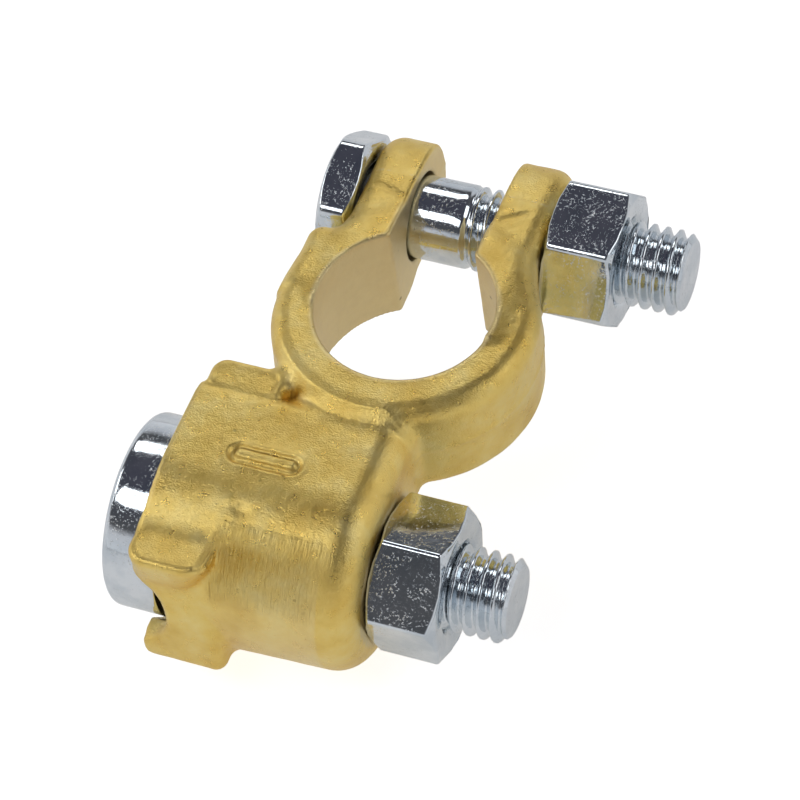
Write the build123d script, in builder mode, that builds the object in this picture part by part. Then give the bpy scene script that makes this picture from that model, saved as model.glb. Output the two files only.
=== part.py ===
"""Brass battery terminal clamp for the negative post, with a cable barrel and two M8 bolts.

Frame: millimetres, origin on the axis of the post bore at half the ring's height.
+Z runs up the bore, away from the battery, and +X is the way both threads point.
"""
import os
from math import radians, sqrt, tan

from build123d import *

# ---- ring that grips the battery post --------------------------------------------------------
ring_height = 10.7
ring_outer_radius = 12.2
ring_outer_offset_y = -0.2
ring_draft_angle = 1.0
ring_top_edge_radius = 1.9
ring_bottom_edge_radius = 1.2
bore_top_radius = 8.15
bore_taper = 1 / 9

# ---- split, ears and the shoulder beside the bolt head ---------------------------------------
split_width = 8.1
left_ear_thickness = 5.0
right_ear_thickness = 5.25
ear_end_radius = 6.8
ear_edge_radius = 1.9
ear_corner_radius = 3.2
bolt_axis_y = 14.85
bolt_axis_z = -0.25
bolt_hole_radius = 4.25
shoulder_reach = 11.8
shoulder_corner_radius = 1.6
hex_side_gap = 0.35

# ---- barrel that takes the cable -------------------------------------------------------------
barrel_axis_y = -20.0
barrel_axis_z = -6.05
barrel_wall = 1.2
barrel_rim_x = -15.1
barrel_length = 19.9
barrel_end_shrink = 0.4
barrel_end_radius = 2.9
barrel_floor = 3.5
shelf_back_y = -11.0
shelf_back_radius = 4.4
web_back_y = -10.4
web_length = 10.2
web_start_radius = 3.0

# ---- bosses round the cable notches ----------------------------------------------------------
front_boss_start_x = -15.2
back_boss_start_x = -14.7
boss_end_x = -7.3
front_boss_top_z = 2.0
back_boss_top_z = 4.6
boss_bottom_z = -13.0
front_boss_reach = 10.9
back_boss_reach = 11.1
back_boss_depth = 3.1
boss_edge_radius = 1.5
notch_radius = 4.7
notch_depth = 2.8

# ---- M8 fasteners ----------------------------------------------------------------------------
thread_radius = 3.95
thread_chamfer = 0.7
nut_bore_gap = 0.05
seat_gap = 0.05
hex_across_flats = 13.0
hex_across_corners = 13.8
hex_chamfer_angle = 30
nut_face_radius = 6.2
head_face_radius = 5.8
head_height = 3.5
nut_height = 6.5
head_turn = 21
clamp_nut_turn = 9.5
cable_nut_turn = 45
clamp_bolt_tail = 5.9
cable_bolt_tail = 5.4
cap_radius = 8.9
cap_thickness = 3.6
cap_edge_chamfer = 0.7
cap_running_gap = 0.25
cap_stand_off = 0.3

# ---- worked out from the sizes above ---------------------------------------------------------
half_height = ring_height / 2
half_split = split_width / 2
bore_bottom_radius = bore_top_radius + ring_height * bore_taper / 2
hex_corner_radius = hex_across_corners / 2
left_ear_x = -half_split - left_ear_thickness
right_ear_x = half_split + right_ear_thickness
shoulder_face_y = bolt_axis_y - hex_corner_radius - hex_side_gap
cavity_radius = cap_radius + cap_running_gap
barrel_radius = cavity_radius + barrel_wall
barrel_end_x = barrel_rim_x + barrel_length
nut_bore_radius = thread_radius + nut_bore_gap
clamp_head_x = left_ear_x - seat_gap
clamp_nut_x = right_ear_x + seat_gap
clamp_bolt_end_x = clamp_nut_x + nut_height + clamp_bolt_tail
cable_nut_x = barrel_end_x + seat_gap
cable_bolt_end_x = cable_nut_x + nut_height + cable_bolt_tail
cap_inner_x = barrel_rim_x - cap_stand_off


def across_x(x, y=0.0, z=0.0):
    """A plane across X at the given place, with its own x along +Y and its own y along +Z."""
    return Plane(origin=(x, y, z), x_dir=(0, 1, 0), z_dir=(1, 0, 0))


def on_bolt_axis(x):
    return across_x(x, bolt_axis_y, bolt_axis_z)


def on_barrel_axis(x):
    return across_x(x, barrel_axis_y, barrel_axis_z)


def ear(inner_x, outer_x):
    """One ear: a plate across X, its end an arc about the bolt axis, its outer face rounded."""
    arc_start_y = bolt_axis_y + sqrt(ear_end_radius**2 - half_height**2)
    with BuildPart() as plate:
        with BuildSketch(across_x(min(inner_x, outer_x))):
            with BuildLine():
                Polyline(
                    (arc_start_y, half_height),
                    (0, half_height),
                    (0, -half_height),
                    (arc_start_y, -half_height),
                )
                ThreePointArc(
                    (arc_start_y, -half_height),
                    (bolt_axis_y + ear_end_radius, 0),
                    (arc_start_y, half_height),
                )
            make_face()
        extrude(amount=abs(outer_x - inner_x))
        fillet(plate.edges().filter_by(Axis.X).group_by(Axis.Y)[-1], ear_corner_radius)
        outer_face = plate.faces().filter_by(Axis.X).sort_by(Axis.X)[-1 if outer_x > 0 else 0]
        fillet([edge for edge in outer_face.edges() if edge.center().Y > 1], ear_edge_radius)
    return plate.part


def boss(start_x, inner_y, outer_y, top_z):
    """The raised pad round one cable notch, with its outer edges rounded."""
    with BuildPart() as pad:
        low_y, high_y = sorted((inner_y, outer_y))
        with BuildSketch(Plane.XZ.offset(-high_y)):
            with Locations(((start_x + boss_end_x) / 2, (top_z + boss_bottom_z) / 2)):
                Rectangle(boss_end_x - start_x, top_z - boss_bottom_z)
            fillet(vertices(), boss_edge_radius)
        extrude(amount=high_y - low_y)
        face = pad.faces().filter_by(Axis.Y).sort_by(Axis.Y)[-1 if outer_y > inner_y else 0]
        fillet(face.edges(), boss_edge_radius * 0.9)
    return pad.part


def barrel():
    """The round barrel, level on top, with draft toward its closed end and a rounded edge there."""
    with BuildPart() as tube:
        with BuildSketch(on_barrel_axis(barrel_rim_x)):
            Circle(barrel_radius)
        with BuildSketch(across_x(barrel_end_x, barrel_axis_y, barrel_axis_z + barrel_end_shrink)):
            Circle(barrel_radius - barrel_end_shrink)
        loft()
        fillet(tube.faces().filter_by(Axis.X).sort_by(Axis.X)[-1].edges(), barrel_end_radius)
    return tube.part


def shelf(start_x, back_y, start_radius, back_radius):
    """A block level with the barrel's top, from the barrel's axis back toward the ring."""
    with BuildPart() as block:
        with BuildSketch(on_barrel_axis(start_x)):
            Rectangle(back_y - barrel_axis_y, barrel_radius, align=(Align.MIN, Align.MIN))
        extrude(amount=barrel_end_x - start_x)
        if back_radius:
            fillet(block.edges().filter_by(Axis.X).sort_by(Axis.Y)[-2:].sort_by(Axis.Z)[-1], back_radius)
        if start_radius:
            start_face = block.faces().filter_by(Axis.X).sort_by(Axis.X)[0]
            fillet(start_face.edges().sort_by(Axis.Z)[-1], start_radius)
        end_face = block.faces().filter_by(Axis.X).sort_by(Axis.X)[-1]
        fillet(end_face.edges().sort_by(Axis.Z)[-1], barrel_end_radius)
    return block.part


def turned(profile, y, z):
    """Revolve a profile of (distance along X, radius) points about the X line through y and z."""
    with BuildPart() as turning:
        with BuildSketch(Plane(origin=(0, y, z), x_dir=(1, 0, 0), z_dir=(0, -1, 0))):
            with BuildLine():
                Polyline(*profile, close=True)
            make_face()
        revolve(axis=Axis((0, y, z), (1, 0, 0)))
    return turning.part


def hexagon(low_x, high_x, plane_at, turn, low_face_radius, high_face_radius):
    """A hexagon of wrench size across X, its corners turned down to a cone at each end."""
    slope = tan(radians(hex_chamfer_angle))
    origin = plane_at(low_x).origin
    profile = [
        (low_x, 0),
        (low_x, low_face_radius),
        (low_x + (hex_corner_radius - low_face_radius) * slope, hex_corner_radius),
        (high_x - (hex_corner_radius - high_face_radius) * slope, hex_corner_radius),
        (high_x, high_face_radius),
        (high_x, 0),
    ]
    with BuildPart() as hexagonal:
        add(turned(profile, origin.Y, origin.Z))
        with BuildSketch(plane_at(low_x)):
            RegularPolygon(hex_across_flats / 2, 6, major_radius=False, rotation=turn)
        extrude(amount=high_x - low_x, mode=Mode.INTERSECT)
    return hexagonal.part


# ================================ terminal body, one forging ==================================
with BuildPart() as terminal_body:
    # ring, with draft both ways from the parting line at half height
    draft = half_height * tan(radians(ring_draft_angle))
    with BuildSketch(Plane.XZ.offset(-ring_outer_offset_y)):
        with BuildLine():
            Polyline(
                (0, half_height),
                (ring_outer_radius - draft, half_height),
                (ring_outer_radius, 0),
                (ring_outer_radius - draft, -half_height),
                (0, -half_height),
                close=True,
            )
        make_face()
    revolve(axis=Axis((0, ring_outer_offset_y, 0), (0, 0, 1)))
    rims = [edge for edge in terminal_body.edges().filter_by(GeomType.CIRCLE) if abs(edge.center().Z) > 1]
    fillet([edge for edge in rims if edge.center().Z > 0], ring_top_edge_radius)
    rims = [edge for edge in terminal_body.edges().filter_by(GeomType.CIRCLE) if edge.center().Z < -1]
    fillet(rims, ring_bottom_edge_radius)

    # ears, and the shoulder that stops the bolt head from turning
    add(ear(-half_split, left_ear_x))
    add(ear(half_split, right_ear_x))
    with BuildSketch(Plane.XY.offset(-half_height)):
        with Locations((-half_split, 0)):
            Rectangle(shoulder_reach - half_split, shoulder_face_y, align=(Align.MAX, Align.MIN))
        fillet(vertices().group_by(Axis.X)[0].sort_by(Axis.Y)[-1], shoulder_corner_radius)
    extrude(amount=ring_height)

    # barrel and the pads round its two cable notches
    add(barrel())
    add(shelf(barrel_rim_x, shelf_back_y, 0, shelf_back_radius))
    add(shelf(barrel_end_x - web_length, web_back_y, web_start_radius, 0))
    add(boss(front_boss_start_x, barrel_axis_y, barrel_axis_y - front_boss_reach, front_boss_top_z))
    back_boss_y = barrel_axis_y + back_boss_reach
    add(boss(back_boss_start_x, back_boss_y - back_boss_depth, back_boss_y, back_boss_top_z))

    # post bore, tapered as the post is, and the split
    with BuildSketch(Plane.XZ):
        with BuildLine():
            Polyline(
                (0, half_height),
                (bore_top_radius, half_height),
                (bore_bottom_radius, -half_height),
                (0, -half_height),
                close=True,
            )
        make_face()
    revolve(axis=Axis.Z, mode=Mode.SUBTRACT)
    with BuildSketch(Plane.XY.offset(-half_height)):
        Rectangle(split_width, bolt_axis_y + 2 * ear_end_radius, align=(Align.CENTER, Align.MIN))
    extrude(amount=ring_height, mode=Mode.SUBTRACT)

    # step that the bolt head lies in, bolt holes and the spot face that the clamp nut turns on
    with BuildSketch(across_x(left_ear_x, shoulder_face_y)):
        Rectangle(bolt_axis_y, 2 * ring_height, align=(Align.MIN, Align.CENTER))
    extrude(amount=-2 * head_height, mode=Mode.SUBTRACT)
    with BuildSketch(on_bolt_axis(left_ear_x - 1)):
        Circle(bolt_hole_radius)
    extrude(amount=right_ear_x - left_ear_x + 2, mode=Mode.SUBTRACT)
    with BuildSketch(on_bolt_axis(right_ear_x)):
        Circle(hex_corner_radius + hex_side_gap)
    extrude(amount=nut_height, mode=Mode.SUBTRACT)

    # cable chamber, the hole in its floor and the notches across its rim
    with BuildSketch(on_barrel_axis(barrel_end_x - barrel_floor)):
        Circle(cavity_radius)
    extrude(amount=-barrel_length, mode=Mode.SUBTRACT)
    with BuildSketch(on_barrel_axis(barrel_end_x)):
        Circle(bolt_hole_radius)
    extrude(amount=-barrel_floor, mode=Mode.SUBTRACT)
    with BuildSketch(Plane.XZ.offset(-barrel_axis_y)):
        with Locations((barrel_rim_x + notch_depth - notch_radius, barrel_axis_z)):
            Circle(notch_radius)
    extrude(amount=barrel_radius + back_boss_reach, both=True, mode=Mode.SUBTRACT)


# ================================ bolt and nut across the ears ================================
with BuildPart() as clamp_bolt:
    add(
        hexagon(
            clamp_head_x - head_height,
            clamp_head_x,
            on_bolt_axis,
            head_turn,
            head_face_radius,
            nut_face_radius,
        )
    )
    with BuildSketch(on_bolt_axis(clamp_head_x)):
        Circle(thread_radius)
    extrude(amount=clamp_bolt_end_x - clamp_head_x)
    chamfer(clamp_bolt.faces().sort_by(Axis.X)[-1].edges(), thread_chamfer)

with BuildPart() as clamp_nut:
    add(
        hexagon(
            clamp_nut_x,
            clamp_nut_x + nut_height,
            on_bolt_axis,
            clamp_nut_turn,
            nut_face_radius,
            nut_face_radius,
        )
    )
    with BuildSketch(on_bolt_axis(clamp_nut_x)):
        Circle(nut_bore_radius)
    extrude(amount=nut_height, mode=Mode.SUBTRACT)

# ================================ cap with its stud, and nut, on the barrel ===================
with BuildPart() as cable_bolt:
    with BuildSketch(on_barrel_axis(cap_inner_x)):
        Circle(cap_radius)
    extrude(amount=-cap_thickness)
    chamfer(cable_bolt.faces().sort_by(Axis.X)[0].edges(), cap_edge_chamfer)
    with BuildSketch(on_barrel_axis(cap_inner_x)):
        Circle(thread_radius)
    extrude(amount=cable_bolt_end_x - cap_inner_x)
    chamfer(cable_bolt.faces().sort_by(Axis.X)[-1].edges(), thread_chamfer)

with BuildPart() as cable_nut:
    add(
        hexagon(
            cable_nut_x,
            cable_nut_x + nut_height,
            on_barrel_axis,
            cable_nut_turn,
            nut_face_radius,
            nut_face_radius,
        )
    )
    with BuildSketch(on_barrel_axis(cable_nut_x)):
        Circle(nut_bore_radius)
    extrude(amount=nut_height, mode=Mode.SUBTRACT)

os.makedirs("parts", exist_ok=True)
terminal_body.part.label = "terminal_body"
export_step(terminal_body.part, "parts/terminal_body.step")
clamp_bolt.part.label = "clamp_bolt"
export_step(clamp_bolt.part, "parts/clamp_bolt.step")
clamp_nut.part.label = "clamp_nut"
export_step(clamp_nut.part, "parts/clamp_nut.step")
cable_bolt.part.label = "cable_bolt"
export_step(cable_bolt.part, "parts/cable_bolt.step")
cable_nut.part.label = "cable_nut"
export_step(cable_nut.part, "parts/cable_nut.step")
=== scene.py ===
import math

import bpy
import numpy as np
from mathutils import Euler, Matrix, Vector


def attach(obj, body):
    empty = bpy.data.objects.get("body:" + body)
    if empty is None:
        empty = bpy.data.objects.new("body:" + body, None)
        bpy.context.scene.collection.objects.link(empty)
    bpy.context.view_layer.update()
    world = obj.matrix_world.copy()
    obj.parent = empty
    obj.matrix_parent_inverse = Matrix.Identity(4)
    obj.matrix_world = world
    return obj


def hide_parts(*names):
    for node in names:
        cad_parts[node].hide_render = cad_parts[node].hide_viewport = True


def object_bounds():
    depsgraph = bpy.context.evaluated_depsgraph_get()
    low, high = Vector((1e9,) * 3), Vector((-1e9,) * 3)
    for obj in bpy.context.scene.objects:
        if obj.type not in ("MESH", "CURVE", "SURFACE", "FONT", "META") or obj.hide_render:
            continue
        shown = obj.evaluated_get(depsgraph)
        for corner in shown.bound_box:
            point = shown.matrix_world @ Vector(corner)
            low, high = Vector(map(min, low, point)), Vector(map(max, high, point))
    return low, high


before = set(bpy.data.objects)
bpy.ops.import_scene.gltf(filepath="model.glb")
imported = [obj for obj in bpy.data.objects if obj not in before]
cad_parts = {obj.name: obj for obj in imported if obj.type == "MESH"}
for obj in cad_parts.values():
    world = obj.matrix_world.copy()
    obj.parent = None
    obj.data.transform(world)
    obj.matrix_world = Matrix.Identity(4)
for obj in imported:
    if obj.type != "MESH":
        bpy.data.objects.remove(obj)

cad_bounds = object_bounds()

MM = 0.001

# ---- sizes shared with the frame, in millimetres -------------------------------------------------
RING_HALF_HEIGHT = 5.35
RING_OUTER_RADIUS = 12.2
RING_OFFSET_Y = -0.2
RING_DRAFT = math.tan(math.radians(1.0))
RING_TOP_EDGE, RING_BOTTOM_EDGE = 1.9, 1.2
BORE_TOP_RADIUS = 8.15
BORE_SLOPE = 1 / 18
SPLIT_HALF_WIDTH = 4.05
LEFT_EAR_X = -9.05
RIGHT_EAR_X = 9.3
EAR_END_RADIUS = 6.8
EAR_ROOT_Y = 1.0
EAR_CORNER_RADIUS, EAR_OUTER_EDGE, EAR_INNER_EDGE = 2.2, 1.9, 0.5
BOLT_Y, BOLT_Z = 14.85, -0.25
BOLT_HOLE_RADIUS = 4.25
SHOULDER_X = -11.8
SHOULDER_Y = 7.6
SHOULDER_CORNER_RADIUS, SHOULDER_TOP_EDGE, SHOULDER_BOTTOM_EDGE = 1.6, 1.5, 1.0
BARREL_Y, BARREL_Z = -20.0, -6.05
BARREL_RIM_X, BARREL_END_X = -15.1, 4.8
BARREL_RADIUS = 10.35
BARREL_SHRINK = 0.4
CAVITY_RADIUS = 9.15
CAVITY_END_X = 1.3
BARREL_TOP_Z = BARREL_Z + BARREL_RADIUS
BARREL_END_EDGE, BARREL_RIM_EDGE = 2.9, 0.35
SHELF_BACK_Y, SHELF_BACK_RADIUS = -11.0, 2.2
WEB_BACK_Y, WEB_START_X = -10.0, -5.4
BOSS_END_X, BOSS_BOTTOM_Z, BOSS_FOOT_RADIUS = -7.3, -13.0, 1.5
FRONT_BOSS_START_X, FRONT_BOSS_Y, FRONT_BOSS_TOP_Z = -15.2, -30.9, 2.2
BACK_BOSS_START_X, BACK_BOSS_INNER_Y, BACK_BOSS_Y, BACK_BOSS_TOP_Z = -14.7, -12.5, -8.9, 4.4
NOTCH_RADIUS = 4.7
NOTCH_X = -17.0
THREAD_RADIUS = 3.95
THREAD_PITCH = 1.25
THREAD_DEPTH = 0.70
THREAD_CHAMFER = 0.7
THREAD_RUN_IN = 1.2
# half the width across flats, the radius of the corners, and the angle of one corner in degrees
HEAD_HEX = (6.2, 1.3, 21.0)
CLAMP_NUT_HEX = (6.15, 0.8, 9.5)
CABLE_NUT_HEX = (6.3, 0.45, 45.0)
SPOT_RADIUS = 7.25
NUT_FACE_RADIUS = 6.2
HEAD_FACE_RADIUS, HEAD_SEAT_RADIUS = 5.8, 6.0
NUT_HEIGHT = 6.5
HEAD_HEIGHT = 3.5
SEAT_GAP = 0.05
CLAMP_BOLT_TAIL = 5.9
CABLE_BOLT_TAIL = 5.4
CAP_RADIUS = 8.9
CAP_THICKNESS = 3.6
CAP_STAND_OFF = 0.3
CAP_DEPTH_INSIDE = 1.15
CAP_EDGE_RADIUS, CAP_INNER_EDGE_RADIUS = 0.7, 0.25
CHAMBER_EDGE, NOTCH_EDGE = 0.3, 0.5
PARTING_HEIGHT, PARTING_WIDTH = 0.09, 0.22

# ---- camera at the photograph's angle ------------------------------------------------------------
CAMERA_PLACE = Vector((86.101, -179.434, 244.409)) * MM
CAMERA_TURN = (38.019, 4.745, 20.036)
CAMERA_LENS = 157.53
LAMP_DISTANCE = 0.55


# ==================================================================================================
# signed distances, in millimetres, of the cast body
# ==================================================================================================
def round_both(a, b, r):
    """Distance to what lies inside both a and b, the edge between them rounded by r."""
    return np.minimum(-r, np.maximum(a, b)) + np.hypot(np.maximum(a + r, 0), np.maximum(b + r, 0))


def round_join(a, b, r):
    """Distance to what lies inside a or b, the inner corner between them filled to radius r."""
    return np.maximum(r, np.minimum(a, b)) - np.hypot(np.maximum(r - a, 0), np.maximum(r - b, 0))


def cut(a, b, r=0.22):
    """Distance to a with b taken away, the new edges broken by r."""
    return round_both(a, -b, r)


def slab(v, low, high):
    """Distance to the layer between low and high."""
    return np.abs(v - (low + high) / 2) - (high - low) / 2


def step_up(distance, width):
    """1 inside, 0 outside, with a slope of that width centred on the edge."""
    return np.clip(0.5 - distance / width, 0, 1)


def ring_shape(x, y, z):
    radius = np.hypot(x, y - RING_OFFSET_Y)
    side = radius - (RING_OUTER_RADIUS - RING_DRAFT * np.abs(z))
    top = round_both(side, z - RING_HALF_HEIGHT, RING_TOP_EDGE)
    return round_both(top, -z - RING_HALF_HEIGHT, RING_BOTTOM_EDGE)


def ear_shape(x, y, z, inner_x, outer_x):
    past = np.maximum(y - BOLT_Y, 0)
    end = np.where(y > BOLT_Y, np.hypot(past, z) - EAR_END_RADIUS, -EAR_END_RADIUS)
    outline = round_both(np.abs(z) - RING_HALF_HEIGHT, end, EAR_CORNER_RADIUS)
    outline = np.maximum(outline, -y - EAR_ROOT_Y)
    outward = (x - outer_x) * np.sign(outer_x)
    inward = (inner_x - x) * np.sign(outer_x)
    return round_both(round_both(outline, outward, EAR_OUTER_EDGE), inward, EAR_INNER_EDGE)


def shoulder_shape(x, y, z):
    plan = round_both(SHOULDER_X - x, y - SHOULDER_Y, SHOULDER_CORNER_RADIUS)
    plan = np.maximum(plan, np.maximum(-y - 0.5, x + 5.0))
    level = round_both(plan, z - RING_HALF_HEIGHT, SHOULDER_TOP_EDGE)
    return round_both(level, -z - RING_HALF_HEIGHT, SHOULDER_BOTTOM_EDGE)


def barrel_shape(x, y, z):
    along = (x - BARREL_RIM_X) / (BARREL_END_X - BARREL_RIM_X)
    rise = BARREL_SHRINK * along
    side = np.hypot(y - BARREL_Y, z - BARREL_Z - rise) - (BARREL_RADIUS - rise)
    side = round_both(side, x - BARREL_END_X, BARREL_END_EDGE)
    return round_both(side, BARREL_RIM_X - x, BARREL_RIM_EDGE)


def shelf_shape(x, y, z):
    section = round_both(z - BARREL_TOP_Z, y - SHELF_BACK_Y, SHELF_BACK_RADIUS)
    section = np.maximum(section, np.maximum(BARREL_Y - y, BARREL_Z - z))
    section = round_both(section, x - BARREL_END_X, BARREL_END_EDGE)
    return round_both(section, BARREL_RIM_X - x, BARREL_RIM_EDGE)


def web_shape(x, y, z):
    section = round_both(z - BARREL_TOP_Z + 0.1, y - WEB_BACK_Y, 1.0)
    section = np.maximum(section, np.maximum(BARREL_Y - y, BARREL_Z + 1.5 - z))
    return round_both(round_both(section, x - BARREL_END_X, BARREL_END_EDGE), WEB_START_X - x, 3.0)


def front_boss_shape(x, y, z):
    """Waisted lug: a slightly sloping top, a rounded ridge, a hollow face and a broad foot."""
    waist = np.exp(-(((z + 2.8) / 3.0) ** 2))
    rise = np.clip((z + 7.5) / 7.5, 0, 1)
    side, face = x - BOSS_END_X + 1.7 * waist, FRONT_BOSS_Y - y + 0.9 * waist
    plan = round_both(side, face, 1.2 + 1.3 * rise)
    plan = round_both(plan, FRONT_BOSS_START_X - x, 0.8 + 1.2 * rise)
    top = z - FRONT_BOSS_TOP_Z + 0.10 * (y + 28.5)
    lug = round_both(round_both(plan, top, 0.65), BOSS_BOTTOM_Z - z, BOSS_FOOT_RADIUS)
    return np.maximum(lug, y - BARREL_Y)


def back_boss_shape(x, y, z):
    """Low lug behind the barrel, a slightly sunk panel in its top."""
    sides = round_both(slab(x, BACK_BOSS_START_X, BOSS_END_X), y - BACK_BOSS_Y, 1.5)
    sides = round_both(sides, BACK_BOSS_INNER_Y - y, 0.5)
    panel = round_both(slab(x, -13.8, -8.2), slab(y, -12.0, -9.7), 0.7)
    top = z - BACK_BOSS_TOP_Z + 0.14 * step_up(panel, 0.3)
    return round_both(round_both(sides, top, 0.9), BOSS_BOTTOM_Z - z, BOSS_FOOT_RADIUS)


def body_distance(x, y, z):
    ring = ring_shape(x, y, z)
    ears = np.minimum(
        ear_shape(x, y, z, -SPLIT_HALF_WIDTH, LEFT_EAR_X),
        ear_shape(x, y, z, SPLIT_HALF_WIDTH, RIGHT_EAR_X),
    )
    body = round_join(ring, ears, 1.6)
    body = round_join(body, shoulder_shape(x, y, z), 0.8)
    barrel = np.minimum(barrel_shape(x, y, z), shelf_shape(x, y, z))
    barrel = np.minimum(barrel, web_shape(x, y, z))
    barrel = round_join(barrel, front_boss_shape(x, y, z), 0.8)
    barrel = round_join(barrel, back_boss_shape(x, y, z), 0.2)
    body = round_join(body, barrel, 1.3)

    # parting line of the dies, round the outside at half the ring's height
    body = body - PARTING_HEIGHT * np.exp(-((z / PARTING_WIDTH) ** 2)) * (y > -12.5)

    # what is machined or cored out
    bore = np.hypot(x, y) - (BORE_TOP_RADIUS + (RING_HALF_HEIGHT - z) * BORE_SLOPE)
    body = cut(body, bore)
    body = cut(body, np.maximum(np.abs(x) - SPLIT_HALF_WIDTH, -y))
    body = cut(body, np.maximum(x - LEFT_EAR_X, SHOULDER_Y - y))
    bolt = np.hypot(y - BOLT_Y, z - BOLT_Z)
    body = cut(body, bolt - BOLT_HOLE_RADIUS)
    body = cut(body, np.maximum(RIGHT_EAR_X - x, bolt - SPOT_RADIUS))
    stud = np.hypot(y - BARREL_Y, z - BARREL_Z)
    body = cut(body, np.maximum(stud - CAVITY_RADIUS, x - CAVITY_END_X), CHAMBER_EDGE)
    body = cut(body, np.maximum(stud - BOLT_HOLE_RADIUS, -x))
    notch = np.hypot(x - NOTCH_X, z - BARREL_Z) - NOTCH_RADIUS
    return cut(body, np.maximum(notch, y + 8.0), NOTCH_EDGE)


# ==================================================================================================
# a mesh laid over the zero level of a distance
# ==================================================================================================
def gradient(distance, p, h=0.02):
    """Slope of a distance at each point, by central differences."""
    g = np.empty_like(p)
    for axis in range(3):
        step = np.zeros(3)
        step[axis] = h
        g[:, axis] = (distance(*(p + step).T) - distance(*(p - step).T)) / (2 * h)
    return g


def settle(distance, p, rounds=2):
    """Moves points onto the surface along the gradient."""
    for _ in range(rounds):
        g = gradient(distance, p)
        size = np.maximum((g * g).sum(1), 0.2)
        p = p - np.clip(distance(*p.T) / size, -0.3, 0.3)[:, None] * g
    return p


def axis_points(low, high, step, fine_low, fine_high, fine_step):
    """Grid places from low to high, closer together between fine_low and fine_high."""
    before = np.arange(fine_low, low - step, -step)[::-1]
    within = np.arange(fine_low, fine_high, fine_step)[1:]
    after = np.arange(within[-1] + fine_step, high + step, step)
    return np.concatenate([before, within, after])


def surface_net(distance, axes):
    """Vertices (n, 3) and quads (m, 4) of the surface where distance is 0, on a grid of axes."""
    field = distance(*np.meshgrid(*axes, indexing="ij"))
    inside = field < 0
    n = [len(a) - 1 for a in axes]
    total = np.zeros((n[0], n[1], n[2], 3))
    count = np.zeros(n)
    for axis in range(3):
        other = [a for a in range(3) if a != axis]
        a = np.take(field, range(n[axis]), axis)
        b = np.take(field, range(1, n[axis] + 1), axis)
        crossed = (a < 0) != (b < 0)
        t = np.where(crossed, a / np.where(crossed, a - b, 1), 0)
        for du in (0, 1):
            for dv in (0, 1):
                pick = [slice(None)] * 3
                pick[other[0]] = slice(du, du + n[other[0]])
                pick[other[1]] = slice(dv, dv + n[other[1]])
                c, tt = crossed[tuple(pick)], t[tuple(pick)]
                total[..., axis] += tt * c
                total[..., other[0]] += du * c
                total[..., other[1]] += dv * c
                count += c
    active = count > 0
    index = np.full(active.shape, -1)
    index[active] = np.arange(active.sum())
    cells = np.argwhere(active)
    places = cells + total[active] / count[active][:, None]
    points = np.stack([np.interp(places[:, i], np.arange(len(axes[i])), axes[i]) for i in range(3)], 1)
    quads = []
    for axis in range(3):
        u, v = (axis + 1) % 3, (axis + 2) % 3
        a = np.take(inside, range(n[axis]), axis)
        b = np.take(inside, range(1, n[axis] + 1), axis)
        edges = np.argwhere(a != b)
        within = (edges[:, [u, v]] > 0).all(1) & (edges[:, u] < n[u]) & (edges[:, v] < n[v])
        edges = edges[within]
        leaving = a[tuple(edges.T)]
        corners = []
        for du, dv in ((1, 1), (0, 1), (0, 0), (1, 0)):
            c = edges.copy()
            c[:, u] -= du
            c[:, v] -= dv
            corners.append(index[tuple(c.T)])
        quad = np.stack(corners, 1)
        quad[~leaving] = quad[~leaving][:, ::-1]
        quads.append(quad)
    return points, np.concatenate(quads)


def relax(distance, points, quads, rounds):
    """Evens out the vertices along the surface, then sets them back on it."""
    pairs = np.concatenate([quads[:, [i, (i + 1) % 4]] for i in range(4)])
    degree = np.bincount(pairs.ravel(), minlength=len(points))[:, None]
    for _ in range(rounds):
        total = np.zeros_like(points)
        for i in range(3):
            total[:, i] += np.bincount(pairs[:, 0], points[pairs[:, 1], i], len(points))
            total[:, i] += np.bincount(pairs[:, 1], points[pairs[:, 0], i], len(points))
        points = settle(distance, 0.5 * points + 0.5 * total / degree, 1)
    return settle(distance, points, 1)


def mesh_object(name, points, faces):
    """A smooth-shaded mesh object from points in millimetres."""
    mesh = bpy.data.meshes.new(name)
    mesh.from_pydata((np.asarray(points) * MM).tolist(), [], [list(map(int, f)) for f in faces])
    mesh.validate()
    mesh.polygons.foreach_set("use_smooth", np.ones(len(mesh.polygons), bool))
    mesh.update()
    piece = bpy.data.objects.new(name, mesh)
    bpy.context.scene.collection.objects.link(piece)
    return piece


def point_values(piece, name, values):
    attribute = piece.data.attributes.new(name, "FLOAT", "POINT")
    attribute.data.foreach_set("value", np.asarray(values, np.float32))


# ---- marks struck in the casting -----------------------------------------------------------------
FAR = 9  # a distance at which nothing shows
EAR_BARS = (((-7.7, 13.05), (-4.8, 12.35)), ((4.9, 12.0), (7.0, 13.3)))  # plan ends of each bar
DENTS = (  # place, size, height above the skin
    ((-6.6, -23.9, 3.5), 0.50, -0.22),
    ((4.1, -27.15, 1.4), 0.22, -0.14),
    ((-7.8, -23.3, 3.8), 0.45, 0.07),
    ((-2.0, -28.4, -1.0), 0.20, -0.10),
    ((9.6, -6.2, 2.2), 0.25, -0.10),
    ((-13.0, -16.0, 3.4), 0.30, -0.10),
    ((-10.9, 3.0, 1.4), 0.30, -0.10),
)


def stadium(u, v, length, width):
    """Distance to an oblong with round ends, lying along u."""
    return np.hypot(np.maximum(np.abs(u) - (length - width) / 2, 0), v) - width / 2


def segment(x, y, a, b):
    """Distance in plan to the straight line from a to b."""
    dx, dy = b[0] - a[0], b[1] - a[1]
    share = np.clip(((x - a[0]) * dx + (y - a[1]) * dy) / (dx * dx + dy * dy), 0, 1)
    return np.hypot(x - a[0] - share * dx, y - a[1] - share * dy)


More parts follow.
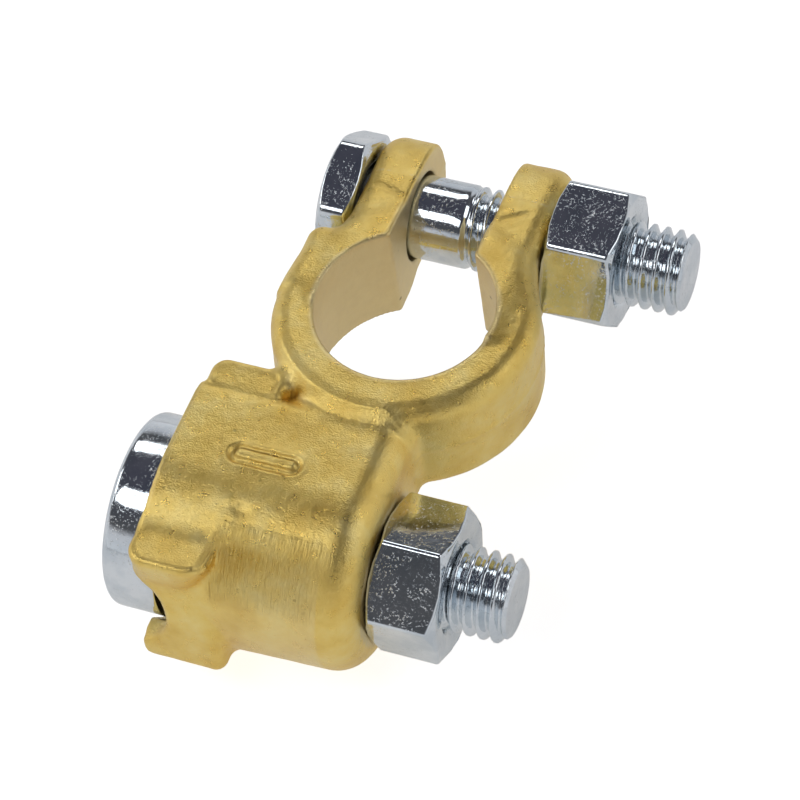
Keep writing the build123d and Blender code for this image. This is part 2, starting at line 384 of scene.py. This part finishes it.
def marks(p):
    """How far, in millimetres, the surface is sunk (-) or raised (+) at each point."""
    x, y, z = p.T
    # sunk oblong with a raised bar, on top of the barrel
    on_top = (z > 3.2) & (y < -14)
    groove = stadium(x + 6.25, y + 18.72, 6.7, 2.0)
    bar = stadium(x + 6.25, y + 18.50, 5.7, 0.95)
    lumps = 1 + 0.10 * np.sin(x * 3.1) * np.sin(x * 1.7 + 1)
    out = (-0.42 * step_up(groove, 0.30) + 0.40 * lumps * step_up(bar, 0.30)) * on_top
    out = out + 0.07 * np.exp(-((groove - 0.25) / 0.3) ** 2) * on_top
    # plain struck bars on the ears
    on_ear = (z > 4.4) & (y > 6)
    for ends in EAR_BARS:
        out = out - 0.24 * step_up(segment(x, y, *ends) - 0.12, 0.34) * on_ear
    # crest where the dies met, along the ring's edge and down the barrel's end
    radius = np.hypot(x, y - RING_OFFSET_Y)
    crest = np.where((y < -4.5) & (x < 2.0), np.abs(radius - 11.2), FAR)
    crest = np.minimum(crest, segment(x, y, (2.0, -11.2), (5.0, -12.3)))
    along_ring = (z > 3.9) * (y > -13.5) * np.clip((-4.5 - y) / 3, 0, 1)
    out = out + 0.11 * np.exp(-((crest / 0.26) ** 2)) * along_ring
    down = np.abs(y + 12.0 + 0.04 * (z - 4)) + FAR * (x < 3.6)
    out = out + 0.10 * np.exp(-((down / 0.30) ** 2)) * (z > -4.5) * (z < 4.2)
    # burr left where the bore was cut
    burr = np.abs(np.hypot(x, y) - BORE_TOP_RADIUS - 0.32)
    out = out + 0.05 * np.exp(-((burr / 0.2) ** 2)) * (z > 5.0) * (0.75 + 0.25 * np.sin(np.arctan2(y, x) * 9))
    # small dents and a blister on the barrel
    for place, size, depth in DENTS:
        away = ((p - np.array(place)) ** 2 * np.array([0.4, 1.0, 1.0])).sum(1)
        out = out + depth * np.exp(-away / size ** 2)
    return out


def trim_zone(p):
    """1 where the flash was shorn off the barrel's front, fading to 0 around it."""
    x, y, z = p.T
    turn = np.degrees(np.arctan2(z - BARREL_Z, y - BARREL_Y))
    across = np.clip((x + 8.6) / 0.8, 0, 1) * np.clip((3.0 - x) / 2.5, 0, 1)
    return across * np.clip((turn - 118) / 12, 0, 1) * np.clip((163 - turn) / 12, 0, 1) * (y < -20)


def soft_noise(p, scale, seed, octaves=3):
    """Smooth noise from sums of plane waves in fixed random directions."""
    rng = np.random.default_rng(seed)
    total = np.zeros(len(p))
    for octave in range(octaves):
        k = 2 ** octave / scale
        for _ in range(7):
            d = rng.normal(size=3)
            d *= k * (0.7 + 0.6 * rng.random()) / np.linalg.norm(d)
            total += np.sin(p @ d * 2 * math.pi + rng.random() * 6.283) / (7 * 1.6 ** octave)
    return total


def machined(p):
    """1 on the bored, sawn and spot-faced surfaces, 0 on the cast ones."""
    x, y, z = p.T
    bore = np.abs(np.hypot(x, y) - (BORE_TOP_RADIUS + (RING_HALF_HEIGHT - z) * BORE_SLOPE))
    split = np.where(y > 2, np.abs(np.abs(x) - SPLIT_HALF_WIDTH), FAR)
    near = np.minimum(bore, split)
    bolt = np.hypot(y - BOLT_Y, z - BOLT_Z)
    near = np.minimum(near, np.abs(bolt - BOLT_HOLE_RADIUS))
    spot = np.where(bolt < SPOT_RADIUS - 0.05, np.abs(x - RIGHT_EAR_X), FAR)
    near = np.minimum(near, spot)
    stud = np.hypot(y - BARREL_Y, z - BARREL_Z)
    near = np.minimum(near, np.where(x < CAVITY_END_X + 0.3, np.abs(stud - CAVITY_RADIUS), FAR))
    near = np.minimum(near, np.where(stud < 7.0, np.abs(x - BARREL_END_X), FAR))
    near = np.minimum(near, np.abs(stud - BOLT_HOLE_RADIUS) + FAR * (x < -0.2))
    return np.clip(1.3 - near / 0.12, 0, 1)


def make_body():
    step = 0.31
    fine = 0.14
    axes = [
        axis_points(-16.0, 13.0, step, -10.2, -2.2, 0.2),
        axis_points(-31.6, 22.4, step, -20.3, -17.0, fine),
        axis_points(-17.0, 6.0, step, 4.0, 5.9, fine * 1.6),
    ]
    points, quads = surface_net(body_distance, axes)
    points = relax(body_distance, settle(body_distance, points), quads, 3)
    normal = gradient(body_distance, points)
    normal /= np.linalg.norm(normal, axis=1)[:, None]
    # how hollow or how proud the surface is, from the distance a little way off it
    reach = 1.1
    hollow = 1 - body_distance(*(points + reach * normal).T) / reach
    edge = 1 + body_distance(*(points - 0.6 * normal).T) / 0.6
    bare = machined(points)
    uneven = 0.030 * soft_noise(points, 6.0, 3) + 0.006 * soft_noise(points, 1.6, 5)
    trim = trim_zone(points)
    stretched = points * np.array([1.0, 0.18, 0.18])
    uneven = uneven + 0.020 * trim * soft_noise(stretched, 1.5, 7, 1)
    shift = marks(points) + uneven * (1 - bare)
    piece = mesh_object("terminal_casting", points + normal * (shift - 0.03)[:, None], quads)
    # painted shade: only the corners beside the ring get a deeper orange painted into their hollows
    beside_ring = np.clip(1.6 - np.abs(np.hypot(points[:, 0], points[:, 1]) - 12.0), 0, 1)
    beside_ring *= points[:, 2] > 1.0
    point_values(piece, "hollow", np.clip(hollow, 0, 1) * beside_ring)
    point_values(piece, "edge", np.clip(edge, 0, 1))
    point_values(piece, "machined", bare)
    point_values(piece, "trim", trim)
    return piece


# ==================================================================================================
# turned and threaded pieces, about an axis along X
# ==================================================================================================
def grid_faces(rows, columns):
    """Quads between rows of points that each close on themselves."""
    faces = []
    for i in range(rows - 1):
        for j in range(columns):
            k = (j + 1) % columns
            faces.append(((i + 1) * columns + j, (i + 1) * columns + k, i * columns + k, i * columns + j))
    return faces


def around(x, radius, angle, y, z):
    """Points at x on a circle about the line through y, z along X."""
    return np.stack([x, y + radius * np.cos(angle), z + radius * np.sin(angle)], -1)


def thread_height(phase):
    """Height, 0 at the root and 1 at the crest, of a rolled 60 degree thread."""
    rise = np.abs((phase % 1.0) - 0.5) * 2
    return np.clip((rise - 0.16) / 0.68, 0, 1)


def rod(start_x, end_x, thread_from, y, z):
    """Rows of points from start_x to end_x: a smooth shank, then a thread up to a chamfered end."""
    columns = 96
    angle = np.arange(columns) * 2 * math.pi / columns
    shank = np.linspace(start_x, thread_from, 14)
    count = int((end_x - thread_from) / THREAD_PITCH * (18))
    turned = np.linspace(thread_from, end_x, count)[1:]
    xs = np.concatenate([shank, turned])
    rows = []
    for x in xs:
        fade = np.clip((x - thread_from) / THREAD_RUN_IN, 0, 1)
        height = thread_height(x / THREAD_PITCH - angle / (2 * math.pi))
        radius = THREAD_RADIUS - 0.02 - THREAD_DEPTH * (1 - height) * fade
        limit = THREAD_RADIUS - THREAD_CHAMFER + (end_x - x)
        rows.append(around(np.full(columns, x), np.minimum(radius, limit), angle, y, z))
    last = THREAD_RADIUS - THREAD_CHAMFER
    for r, back in ((last - 0.12, 0.0), (last * 0.6, 0.03), (last * 0.25, 0.04), (0.05, 0.04)):
        rows.append(around(np.full(columns, end_x - back), r, angle, y, z))
    return np.concatenate(rows), grid_faces(len(rows), columns)


def hexagon_outline(flat, ease, turn):
    """Angles and radii round a hexagon with a corner at turn, its corners filleted by ease."""
    guard = 0.04
    half = (flat - ease) * math.tan(math.pi / 6)
    sector = []
    for bend in np.linspace(-30, 30, 7):
        b = math.radians(bend)
        reach = (flat - ease) / math.cos(math.pi / 6)
        sector.append((reach + ease * math.cos(b), ease * math.sin(b)))
    middle = math.pi / 6
    for along in (-half + guard, -half * 0.5, 0.0, half * 0.5, half - guard):
        u = flat * math.cos(middle) - along * math.sin(middle)
        v = flat * math.sin(middle) + along * math.cos(middle)
        sector.append((u, v))
    sector = np.array(sector)
    angle = np.arctan2(sector[:, 1], sector[:, 0])
    radius = np.hypot(sector[:, 0], sector[:, 1])
    turns = np.concatenate([angle + math.radians(turn + 60 * k) for k in range(6)])
    return turns, np.tile(radius, 6)


def hexagon_rows(low_x, high_x, outline, low_face, high_face, y, z):
    """Rows of points over a hexagon with coned ends, from the low face's rim to the high one's."""
    angle, side = outline
    slope = math.tan(math.radians(30))
    low_reach = np.maximum((side - low_face) * slope, 0.02)
    high_reach = np.maximum((side - high_face) * slope, 0.02)
    bevel, guard = 0.06, 0.05
    rows = []
    ends = ((low_x, 1, low_face, low_reach), (high_x, -1, high_face, high_reach))
    for start, sense, face, reach in ends:
        inner = np.minimum(face, side - 0.08)
        edge_rows = [
            around(np.full(side.shape, start), inner - 0.20, angle, y, z),
            around(np.full(side.shape, start), inner - 0.06, angle, y, z),
            around(start + sense * 0.03 + 0 * side, inner, angle, y, z),
            around(
                start + sense * (0.05 + 0.5 * (reach - bevel - guard)), (inner + side - 0.1) / 2, angle, y, z
            ),
            around(start + sense * (reach - bevel - guard), side - 0.10 - guard, angle, y, z),
            around(start + sense * (reach - bevel), side - 0.08, angle, y, z),
            around(start + sense * (reach + bevel * 0.4), side - 0.02, angle, y, z),
            around(start + sense * (reach + bevel * 2), side, angle, y, z),
            around(start + sense * (reach + bevel * 2 + guard), side, angle, y, z),
        ]
        rows.append(edge_rows if sense > 0 else edge_rows[::-1])
    low_end, high_end = low_x + low_reach, high_x - high_reach
    middle = [
        around(low_end + (high_end - low_end) * share, side, angle, y, z) for share in (0.25, 0.5, 0.75)
    ]
    return rows[0] + middle + rows[1]


def make_nut(name, low_x, flat, ease, turn, y, z):
    """A hexagon nut from low_x up along X, its bore lined and countersunk."""
    outline = hexagon_outline(flat, ease, turn)
    angle = outline[0]
    columns = len(angle)
    high_x = low_x + NUT_HEIGHT
    bore = THREAD_RADIUS + 0.06
    sink = 0.45

    def circle(x, radius):
        return around(np.full(columns, x), radius, angle, y, z)

    rows = [
        circle(low_x + sink, bore),
        circle(low_x + 0.03, bore + sink),
        circle(low_x, bore + sink + 0.1),
        *hexagon_rows(low_x, high_x, outline, NUT_FACE_RADIUS, NUT_FACE_RADIUS, y, z),
        circle(high_x, bore + sink + 0.1),
        circle(high_x - 0.03, bore + sink),
        circle(high_x - sink, bore),
        circle(high_x - sink - 1.6, bore),
        circle(low_x + sink + 1.6, bore),
    ]
    points = np.concatenate(rows)
    faces = grid_faces(len(rows), columns)
    last = (len(rows) - 1) * columns
    for j in range(columns):
        k = (j + 1) % columns
        faces.append((last + j, j, k, last + k))
    return mesh_object(name, points, faces)


def closed(rows, columns):
    """Rows that start and end near the axis, closed with a fan of faces at each end."""
    points = np.concatenate(rows)
    faces = grid_faces(len(rows), columns)
    faces.append(tuple(range(columns)))
    last = (len(rows) - 1) * columns
    faces.append(tuple(last + j for j in range(columns))[::-1])
    return points, faces


def make_clamp_bolt():
    outline = hexagon_outline(*HEAD_HEX)
    angle = outline[0]
    head_x = LEFT_EAR_X - SEAT_GAP
    end_x = RIGHT_EAR_X + SEAT_GAP + NUT_HEIGHT + CLAMP_BOLT_TAIL
    top_x = head_x - HEAD_HEIGHT

    def circle(x, radius):
        return around(np.full(len(angle), x), radius, angle, BOLT_Y, BOLT_Z)

    rows = [circle(top_x, r) for r in (0.1, 2.0, 4.0, 5.3)]
    rows += hexagon_rows(top_x, head_x, outline, HEAD_FACE_RADIUS, HEAD_SEAT_RADIUS, BOLT_Y, BOLT_Z)
    rows += [circle(head_x, r) for r in (4.6, THREAD_RADIUS - 0.3)]
    head = mesh_object("clamp_bolt_head", *closed(rows, len(angle)))
    shank = mesh_object("clamp_bolt_shank", *rod(head_x - 0.2, end_x, 0.6, BOLT_Y, BOLT_Z))
    return head, shank


def make_cable_bolt():
    columns = 160
    angle = np.arange(columns) * 2 * math.pi / columns
    inner_x = BARREL_RIM_X - CAP_STAND_OFF
    outer_x = inner_x - CAP_THICKNESS
    end_x = BARREL_END_X + SEAT_GAP + NUT_HEIGHT + CABLE_BOLT_TAIL
    sunk_x = BARREL_RIM_X + CAP_DEPTH_INSIDE
    profile = [(outer_x, 0.1), (outer_x, 3.0), (outer_x, 6.0), (outer_x, CAP_RADIUS - 1.0)]
    for step in range(7):
        turn = math.radians(15 * step)
        back, out = 1 - math.cos(turn), 1 - math.sin(turn)
        profile.append((outer_x + CAP_EDGE_RADIUS * back, CAP_RADIUS - CAP_EDGE_RADIUS * out))
    side_start, side_end = outer_x + CAP_EDGE_RADIUS, sunk_x - CAP_INNER_EDGE_RADIUS
    for share in (0.2, 0.4, 0.6, 0.8):
        profile.append((side_start + (side_end - side_start) * share, CAP_RADIUS))
    for step in range(5):
        turn = math.radians(22.5 * step)
        back, out = 1 - math.sin(turn), 1 - math.cos(turn)
        profile.append((sunk_x - CAP_INNER_EDGE_RADIUS * back, CAP_RADIUS - CAP_INNER_EDGE_RADIUS * out))
    profile += [(sunk_x, 6.0), (sunk_x, THREAD_RADIUS - 0.4)]
    rows = [around(np.full(columns, x), r, angle, BARREL_Y, BARREL_Z) for x, r in profile]
    cap = mesh_object("cable_cap", *closed(rows, columns))
    stud = mesh_object("cable_stud", *rod(inner_x - 0.2, end_x, -6.0, BARREL_Y, BARREL_Z))
    return cap, stud


# ==================================================================================================
# materials
# ==================================================================================================
class Nodes:
    """A short way to write a node material."""

    def __init__(self, name):
        self.material = bpy.data.materials.new(name)
        self.material.use_nodes = True
        self.tree = self.material.node_tree
        self.shader = self.tree.nodes["Principled BSDF"]

    def node(self, kind, inputs=None, **settings):
        made = self.tree.nodes.new(kind)
        for key, value in settings.items():
            setattr(made, key, value)
        for key, value in (inputs or {}).items():
            if isinstance(value, bpy.types.NodeSocket):
                self.tree.links.new(value, made.inputs[key])
            else:
                made.inputs[key].default_value = value
        return made

    def math(self, operation, a, b=0.0, clamp=False):
        made = self.node("ShaderNodeMath", {0: a, 1: b}, operation=operation, use_clamp=clamp)
        return made.outputs[0]

    def noise(self, place, scale, detail, roughness=0.55):
        inputs = {"Vector": place, "Scale": scale, "Detail": detail, "Roughness": roughness}
        return self.node("ShaderNodeTexNoise", inputs).outputs["Fac"]

    def ramp(self, value, stops):
        made = self.node("ShaderNodeValToRGB", {"Fac": value})
        ramp = made.color_ramp
        while len(ramp.elements) < len(stops):
            ramp.elements.new(0.5)
        for element, (place, colour) in zip(ramp.elements, stops):
            element.position = place
            element.color = (*colour, 1)
        return made.outputs["Color"]

    def mix(self, share, a, b):
        made = self.node("ShaderNodeMix", data_type="RGBA")
        for key, value in ((0, share), (6, a), (7, b)):
            if isinstance(value, bpy.types.NodeSocket):
                self.tree.links.new(value, made.inputs[key])
            else:
                made.inputs[key].default_value = value if key == 0 else (*value, 1)
        return made.outputs[2]

    def attribute(self, name):
        return self.node("ShaderNodeAttribute", attribute_name=name).outputs["Fac"]

    def place(self):
        return self.node("ShaderNodeTexCoord").outputs["Object"]

    def stretched(self, place, scale):
        return self.node("ShaderNodeMapping", {"Vector": place, "Scale": scale}).outputs[0]

    def bump(self, height, strength, distance, normal=None):
        inputs = {"Height": height, "Strength": strength, "Distance": distance}
        if normal is not None:
            inputs["Normal"] = normal
        return self.node("ShaderNodeBump", inputs).outputs[0]

    def plug(self, **values):
        for key, value in values.items():
            socket = self.shader.inputs[key.replace("_", " ")]
            if isinstance(value, bpy.types.NodeSocket):
                self.tree.links.new(value, socket)
            else:
                socket.default_value = value


def grey(value):
    return (value, value, value)


def brass_material():
    m = Nodes("satin_brass")
    place = m.place()
    hollow, edge = m.attribute("hollow"), m.attribute("edge")
    bare, trim = m.attribute("machined"), m.attribute("trim")
    cloud = m.noise(place, 240, 5, 0.6)
    patch = m.noise(place, 950, 4, 0.6)
    grain = m.noise(m.stretched(place, (5200, 7000, 7000)), 1.0, 3, 0.6)
    scratch = m.noise(m.stretched(place, (900, 5200, 5200)), 1.0, 2, 0.5)
    shorn = m.noise(m.stretched(place, (4600, 420, 420)), 1.0, 3, 0.6)
    cells = m.node("ShaderNodeTexVoronoi", {"Vector": place, "Scale": 520.0})
    pit = m.math("MULTIPLY", m.math("SUBTRACT", 0.13, cells.outputs["Distance"]), 14.0, True)
    chosen = m.node("ShaderNodeSeparateColor", {0: cells.outputs["Color"]}).outputs[0]
    pit = m.math("MULTIPLY", pit, m.math("GREATER_THAN", chosen, 0.82))
    tones = [(0.30, (0.80, 0.52, 0.10)), (0.52, (0.93, 0.67, 0.18)), (0.70, (0.98, 0.77, 0.28))]
    colour = m.ramp(cloud, tones)
    colour = m.mix(m.math("MULTIPLY", patch, 0.22), colour, (0.97, 0.82, 0.38))
    # painted shade: the hollows beside the ring are painted a deeper, more saturated orange
    painted_hollow_shade = m.math("MULTIPLY", m.math("SUBTRACT", hollow, 0.50), 2.0, True)
    colour = m.mix(m.math("MULTIPLY", painted_hollow_shade, 0.35), colour, (1.0, 0.66, 0.14))
    # partly real wear, partly painted highlight: the proud edges are painted paler and brighter
    worn = m.math("MULTIPLY", m.math("SUBTRACT", edge, 0.10), 1.6, True)
    colour = m.mix(m.math("MULTIPLY", worn, 0.5), colour, (0.98, 0.86, 0.54))
    cut_colour = m.mix(patch, (0.80, 0.65, 0.36), (0.90, 0.76, 0.46))
    colour = m.mix(m.math("MULTIPLY", bare, 0.85), colour, cut_colour)
    # painted shade: the pits are painted a near-black brown, as if shade fell inside them
    colour = m.mix(m.math("MULTIPLY", pit, 0.6), colour, (0.22, 0.13, 0.03))
    rough = m.math("ADD", m.math("MULTIPLY", patch, 0.22), 0.19)
    rough = m.math("ADD", rough, m.math("MULTIPLY", bare, 0.12))
    height = m.math("ADD", m.math("MULTIPLY", cloud, 0.5), m.math("MULTIPLY", patch, 0.35))
    normal = m.bump(height, 0.55, 0.0003)
    normal = m.bump(m.math("MULTIPLY", shorn, trim), 1.0, 0.00070, normal)
    normal = m.bump(m.math("SUBTRACT", m.math("MULTIPLY", scratch, 0.4), pit), 0.8, 0.00004, normal)
    normal = m.bump(grain, 0.9, 0.00006, normal)
    m.plug(Base_Color=colour, Metallic=1.0, Roughness=rough, Normal=normal)
    return m.material


def zinc_material():
    m = Nodes("zinc_steel")
    place = m.place()
    cloud = m.noise(place, 330, 4, 0.6)
    area = m.noise(place, 520, 3, 0.6)
    spangle = m.noise(place, 4300, 4, 0.7)
    worn = m.math("MULTIPLY", m.math("SUBTRACT", area, 0.46), 4.0, True)
    speck = m.math("MULTIPLY", m.math("SUBTRACT", spangle, 0.58), 9.0, True)
    speck = m.math("MULTIPLY", speck, m.math("ADD", m.math("MULTIPLY", worn, 0.9), 0.1))
    colour = m.ramp(cloud, [(0.35, (0.62, 0.68, 0.73)), (0.65, (0.80, 0.84, 0.87))])
    colour = m.mix(speck, colour, (0.93, 0.95, 0.96))
    rough = m.math("ADD", m.math("MULTIPLY", speck, 0.30), m.math("MULTIPLY", area, 0.16))
    normal = m.bump(speck, 1.0, 0.00003)
    normal = m.bump(area, 0.25, 0.00006, normal)
    m.plug(Base_Color=colour, Metallic=1.0, Roughness=rough, Normal=normal)
    return m.material


def floor_material():
    m = Nodes("pale_floor")
    path = m.node("ShaderNodeLightPath")
    mirrored = m.math("MAXIMUM", path.outputs["Is Glossy Ray"], path.outputs["Is Transmission Ray"])
    seen = m.math("MULTIPLY", path.outputs["Is Camera Ray"], 0.78)
    glow = m.math("ADD", seen, m.math("MULTIPLY", mirrored, 0.27))
    tone = m.noise(m.place(), 40, 3)
    colour = m.mix(tone, grey(0.78), grey(0.80))
    m.plug(Base_Color=colour, Roughness=0.9, Emission_Color=(1, 1, 1, 1), Emission_Strength=glow)
    m.plug(Specular_IOR_Level=0.0)
    return m.material


# ==================================================================================================
# the object
# ==================================================================================================
brass = brass_material()
zinc = zinc_material()

casting = make_body()
casting.data.materials.append(brass)
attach(casting, "root")
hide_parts("terminal_body")

bolt_head, bolt_shank = make_clamp_bolt()
cap, stud = make_cable_bolt()
clamp_nut = make_nut("clamp_nut_hex", RIGHT_EAR_X + SEAT_GAP, *CLAMP_NUT_HEX, BOLT_Y, BOLT_Z)
cable_nut = make_nut("cable_nut_hex", BARREL_END_X + SEAT_GAP, *CABLE_NUT_HEX, BARREL_Y, BARREL_Z)
for piece, body, node in (
    (bolt_head, "clamp_bolt_body", "clamp_bolt"),
    (bolt_shank, "clamp_bolt_body", "clamp_bolt"),
    (cap, "cable_bolt_body", "cable_bolt"),
    (stud, "cable_bolt_body", "cable_bolt"),
    (clamp_nut, "clamp_nut_body", "clamp_nut"),
    (cable_nut, "cable_nut_body", "cable_nut"),
):
    piece.data.materials.append(zinc)
    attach(piece, body)
    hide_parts(node)

# ---- floor, lights, camera -----------------------------------------------------------------------
floor_z = cad_bounds[0][2] - 0.0002
bpy.ops.mesh.primitive_plane_add(size=6.0, location=(0, 0, floor_z))
floor = bpy.context.object
floor.name = "floor"
floor.data.materials.append(floor_material())

world = bpy.data.worlds.new("studio")
bpy.context.scene.world = world
world.use_nodes = True
tree = world.node_tree
tree.nodes.clear()
coordinate = tree.nodes.new("ShaderNodeTexCoord")
split_xyz = tree.nodes.new("ShaderNodeSeparateXYZ")
height_ramp = tree.nodes.new("ShaderNodeValToRGB")
studio = tree.nodes.new("ShaderNodeBackground")
white = tree.nodes.new("ShaderNodeBackground")
path = tree.nodes.new("ShaderNodeLightPath")
blend_world = tree.nodes.new("ShaderNodeMixShader")
output = tree.nodes.new("ShaderNodeOutputWorld")
tree.links.new(coordinate.outputs["Generated"], split_xyz.inputs[0])
tree.links.new(split_xyz.outputs["Z"], height_ramp.inputs["Fac"])
elements = height_ramp.color_ramp.elements
elements[0].position, elements[0].color = 0.0, (0.70, 0.71, 0.73, 1)
elements[1].position, elements[1].color = 1.0, (0.06, 0.06, 0.08, 1)
for height, tone in ((0.32, 0.58), (0.45, 0.085)):
    elements.new(height).color = (tone, tone, tone * 1.04, 1)
tree.links.new(height_ramp.outputs["Color"], studio.inputs["Color"])
studio.inputs["Strength"].default_value = 1.0
white.inputs["Color"].default_value = (1, 1, 1, 1)
white.inputs["Strength"].default_value = 1.0
tree.links.new(path.outputs["Is Camera Ray"], blend_world.inputs[0])
tree.links.new(studio.outputs[0], blend_world.inputs[1])
tree.links.new(white.outputs[0], blend_world.inputs[2])
tree.links.new(blend_world.outputs[0], output.inputs[0])


def softbox(name, azimuth, elevation, width, height, radiance):
    """A soft lamp in that direction from the origin, facing it."""
    lamp = bpy.data.lights.new(name, "AREA")
    lamp.shape = "RECTANGLE"
    lamp.size, lamp.size_y = width, height
    lamp.energy = radiance * math.pi * width * height
    holder = bpy.data.objects.new(name, lamp)
    bpy.context.scene.collection.objects.link(holder)
    a, e = math.radians(azimuth), math.radians(elevation)
    direction = Vector((math.cos(e) * math.cos(a), math.cos(e) * math.sin(a), math.sin(e)))
    holder.location = direction * LAMP_DISTANCE
    holder.rotation_euler = direction.to_track_quat("Z", "Y").to_euler()


# name, azimuth and elevation in degrees, width and height in metres, radiance
for lamp_settings in (
    ("back_softbox", 112, 46, 0.28, 0.14, 2.6),
    ("front_softbox", -120, 56, 0.26, 0.16, 3.2),
    ("right_softbox", 12, 38, 0.26, 0.20, 1.95),
    ("left_softbox", 188, 35, 0.26, 0.20, 2.2),
):
    softbox(*lamp_settings)

camera_data = bpy.data.cameras.new("camera")
camera_data.lens = CAMERA_LENS
camera_data.sensor_width = 36.0
camera_data.clip_start = 0.01
camera = bpy.data.objects.new("camera", camera_data)
bpy.context.scene.collection.objects.link(camera)
camera.location = CAMERA_PLACE
camera.rotation_euler = Euler([math.radians(v) for v in CAMERA_TURN], "XYZ")
bpy.context.scene.camera = camera
bpy.context.scene.view_settings.view_transform = "Standard"
